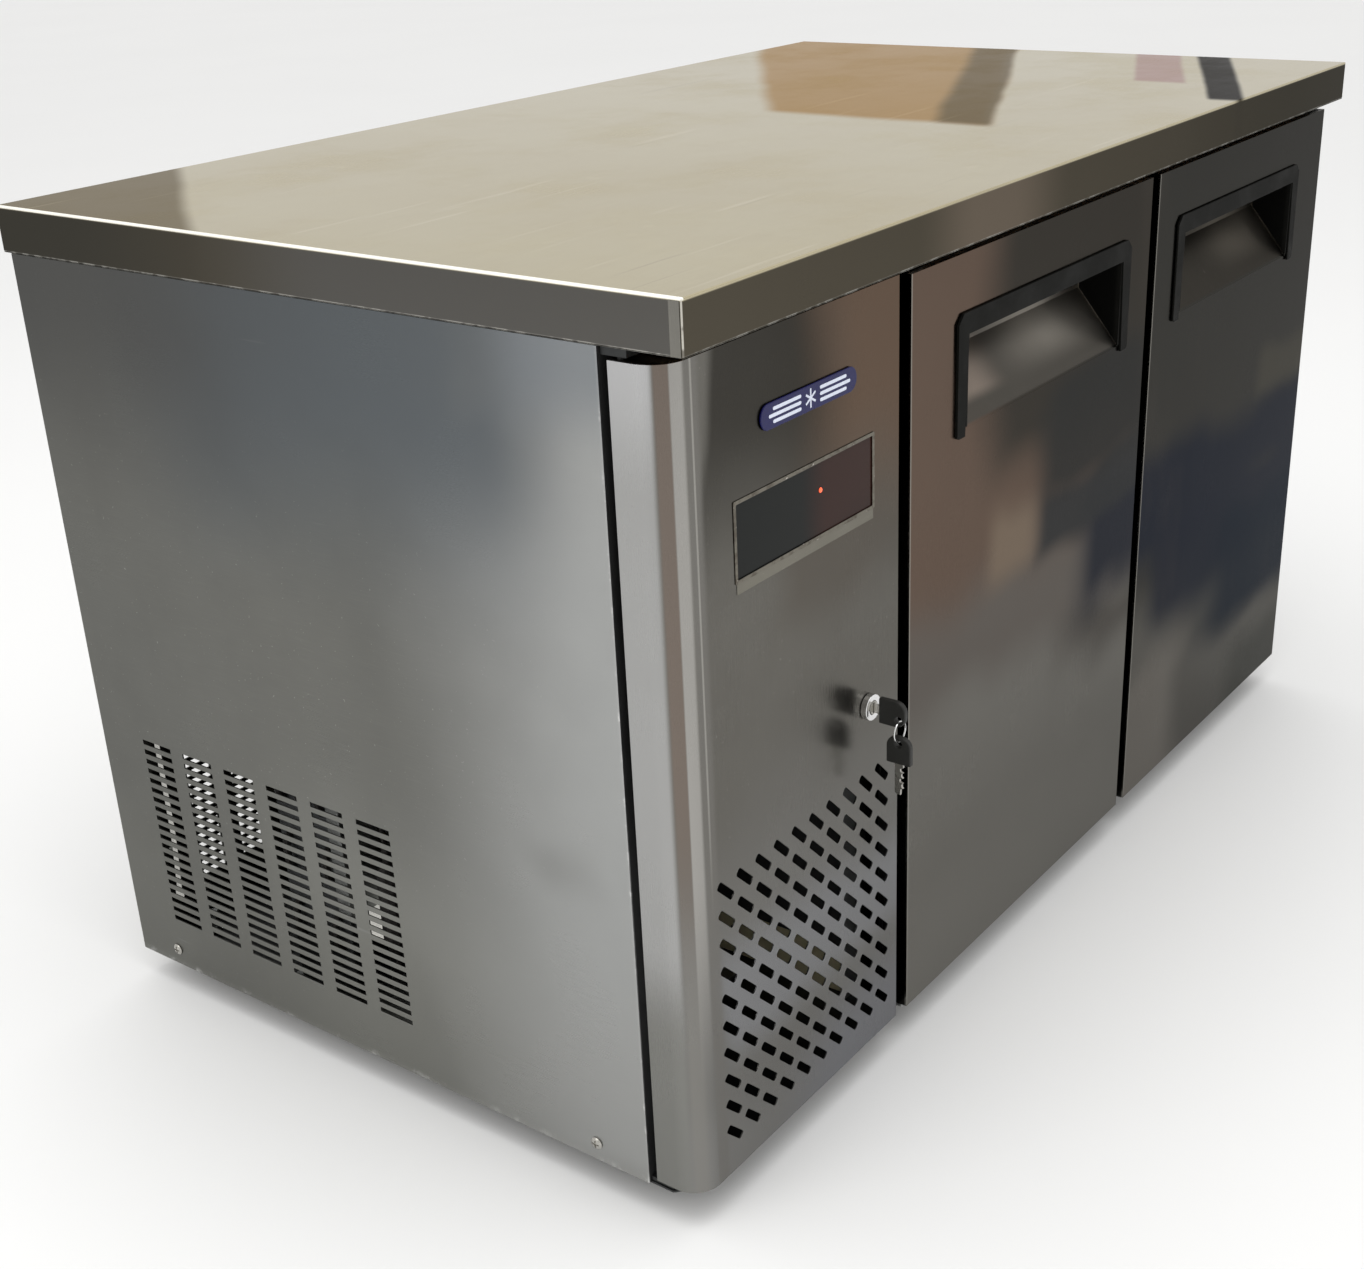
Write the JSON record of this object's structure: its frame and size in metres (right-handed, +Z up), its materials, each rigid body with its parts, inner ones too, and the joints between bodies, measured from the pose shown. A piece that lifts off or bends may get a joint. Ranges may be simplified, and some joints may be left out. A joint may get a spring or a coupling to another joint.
{
  "type": "undercounter refrigerator",
  "caption": "Low stainless worktop refrigerator: hinged doors with sunk handles beside a lockable, slotted service door, louvred end panel, shelves and condensing unit inside.",
  "frame": {"origin": "centre of the bounding box's base, on the floor", "axes": "X runs along the front from the machine compartment to the right-hand door, Y runs from the front to the back, Z is up"},
  "size_m": [1.2024, 0.723, 0.74],
  "materials": {
    "worktop_steel": "polished",
    "wood_core": "matte",
    "panel_steel": "satin",
    "door_steel": "polished",
    "inner_steel": "satin",
    "foam": "matte",
    "white_plastic": "satin",
    "coated_wire": "satin",
    "black_plastic": "satin",
    "rubber": "matte",
    "dark_glass": "polished",
    "blue_plastic": "gloss",
    "chrome": "polished",
    "zinc_plate": "satin",
    "black_enamel": "satin",
    "aluminium": "satin",
    "copper": "satin"
  },
  "bodies": {
    "cabinet": {"worktop": "worktop_steel", "worktop_core": "wood_core", "left_side_panel": "panel_steel", "right_side_panel": "panel_steel", "back_panel": "panel_steel", "liner": "inner_steel", "centre_mullion": "inner_steel", "evaporator_cover": "inner_steel", "floor_insulation": "foam", "ceiling_insulation": "foam", "divider_insulation": "foam", "end_insulation": "foam", "back_insulation": "foam", "cord_gland": "black_plastic", "left_panel_screw_front": "chrome", "left_panel_screw_rear": "chrome", "base_pan": "zinc_plate", "lock_keeper": "zinc_plate", "unit_base": "zinc_plate", "fan_shroud": "zinc_plate", "left_door_top_hinge": "zinc_plate", "left_door_bottom_hinge": "zinc_plate", "right_door_top_hinge": "zinc_plate", "right_door_bottom_hinge": "zinc_plate", "service_top_hinge": "zinc_plate", "service_bottom_hinge": "zinc_plate", "compressor": "black_enamel", "condenser_fan_motor": "black_enamel", "evaporator_fan_motor": "black_enamel", "condenser": "aluminium", "evaporator": "aluminium", "filter_drier": "copper", "discharge_pipe": "copper", "suction_pipe": "copper"},
    "left_door": {"left_door_skin": "door_steel", "left_door_core": "white_plastic", "left_door_gasket": "rubber", "left_door_handle": "black_plastic"},
    "right_door": {"right_door_skin": "door_steel", "right_door_core": "white_plastic", "right_door_gasket": "rubber", "right_door_handle": "black_plastic"},
    "service_door": {"service_door": "panel_steel", "display_window": "dark_glass", "controller": "black_plastic", "badge": "blue_plastic", "lock_body": "chrome"},
    "lock": {"lock_plug": "chrome", "lock_cam": "zinc_plate", "key": "black_plastic"},
    "key_ring": {"key_ring": "chrome"},
    "spare_key": {"spare_key": "black_plastic"},
    "condenser_fan": {"condenser_fan": "aluminium"},
    "evaporator_fan": {"evaporator_fan": "black_plastic"},
    "left_shelf": {"left_shelf": "coated_wire"},
    "right_shelf": {"right_shelf": "coated_wire"},
    "foot_front_left": {"foot_front_left": "rubber"},
    "foot_front_right": {"foot_front_right": "rubber"},
    "foot_rear_left": {"foot_rear_left": "rubber"},
    "foot_rear_right": {"foot_rear_right": "rubber"}
  },
  "joints": [
    {"name": "left_door_hinge", "type": "hinge", "parent": "cabinet", "child": "left_door", "pos_m": [-0.27875, -0.2985, 0.362], "axis": [0, 0, -1], "range_deg": [0, 105]},
    {"name": "right_door_hinge", "type": "hinge", "parent": "cabinet", "child": "right_door", "pos_m": [0.58825, -0.2985, 0.362], "axis": [0, 0, 1], "range_deg": [0, 105]},
    {"name": "service_door_hinge", "type": "hinge", "parent": "cabinet", "child": "service_door", "pos_m": [-0.58975, -0.2815, 0.362], "axis": [0, 0, -1], "range_deg": [0, 95]},
    {"name": "lock_turn", "type": "hinge", "parent": "service_door", "child": "lock", "pos_m": [-0.35575, -0.3205, 0.359], "axis": [0, -1, 0], "range_deg": [0, 90]},
    {"name": "key_ring_swing", "type": "hinge", "parent": "lock", "child": "key_ring", "pos_m": [-0.35575, -0.3505, 0.3527], "axis": [1, 0, 0], "range_deg": [-30, 12]},
    {"name": "spare_key_swing", "type": "hinge", "parent": "key_ring", "child": "spare_key", "pos_m": [-0.35575, -0.3505, 0.3357], "axis": [1, 0, 0], "range_deg": [-20, 8]},
    {"name": "condenser_fan_spin", "type": "hinge", "parent": "cabinet", "child": "condenser_fan", "pos_m": [-0.44875, 0.0705, 0.22], "axis": [0, 1, 0], "continuous": true},
    {"name": "evaporator_fan_spin", "type": "hinge", "parent": "cabinet", "child": "evaporator_fan", "pos_m": [-0.18375, 0.019, 0.46], "axis": [1, 0, 0], "continuous": true},
    {"name": "left_shelf_lift", "type": "slide", "parent": "cabinet", "child": "left_shelf", "axis": [0, 0, 1], "range_m": [0, 0.04]},
    {"name": "right_shelf_lift", "type": "slide", "parent": "cabinet", "child": "right_shelf", "axis": [0, 0, 1], "range_m": [0, 0.04]},
    {"name": "foot_front_left_adjust", "type": "slide", "parent": "cabinet", "child": "foot_front_left", "axis": [0, 0, -1], "range_m": [0, 0.012]},
    {"name": "foot_front_right_adjust", "type": "slide", "parent": "cabinet", "child": "foot_front_right", "axis": [0, 0, -1], "range_m": [0, 0.012]},
    {"name": "foot_rear_left_adjust", "type": "slide", "parent": "cabinet", "child": "foot_rear_left", "axis": [0, 0, -1], "range_m": [0, 0.012]},
    {"name": "foot_rear_right_adjust", "type": "slide", "parent": "cabinet", "child": "foot_rear_right", "axis": [0, 0, -1], "range_m": [0, 0.012]}
  ]
}
